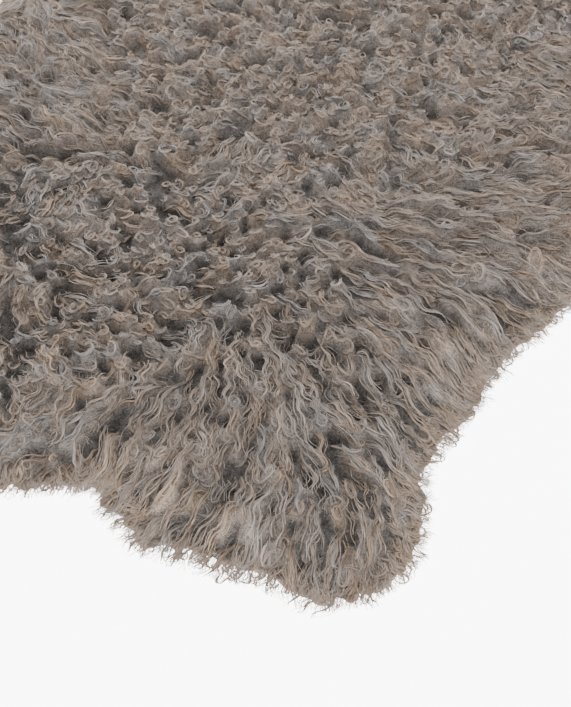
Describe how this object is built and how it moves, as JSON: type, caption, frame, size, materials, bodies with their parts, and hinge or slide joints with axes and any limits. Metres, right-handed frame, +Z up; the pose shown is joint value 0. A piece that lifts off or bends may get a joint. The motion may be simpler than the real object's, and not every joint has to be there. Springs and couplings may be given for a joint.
{
  "type": "sheepskin rug",
  "caption": "Whole curly sheepskin pelt lying flat, wool side up, with a flat underside and wool locks standing out round its rim.",
  "frame": {"origin": "on the floor, under the middle of the pelt's bounding box", "axes": "+Z up through the pile, +Y along the back from the tail to the neck, +X to the right seen from above with the neck away"},
  "size_m": [0.761, 1.1602, 0.0462],
  "materials": {
    "wool": "matt taupe curly wool with lighter tips and charcoal roots",
    "hide": "pale tan suede, the flesh side of the skin, underneath"
  },
  "bodies": {
    "root": {"sheepskin": "wool"}
  },
  "joints": []
}
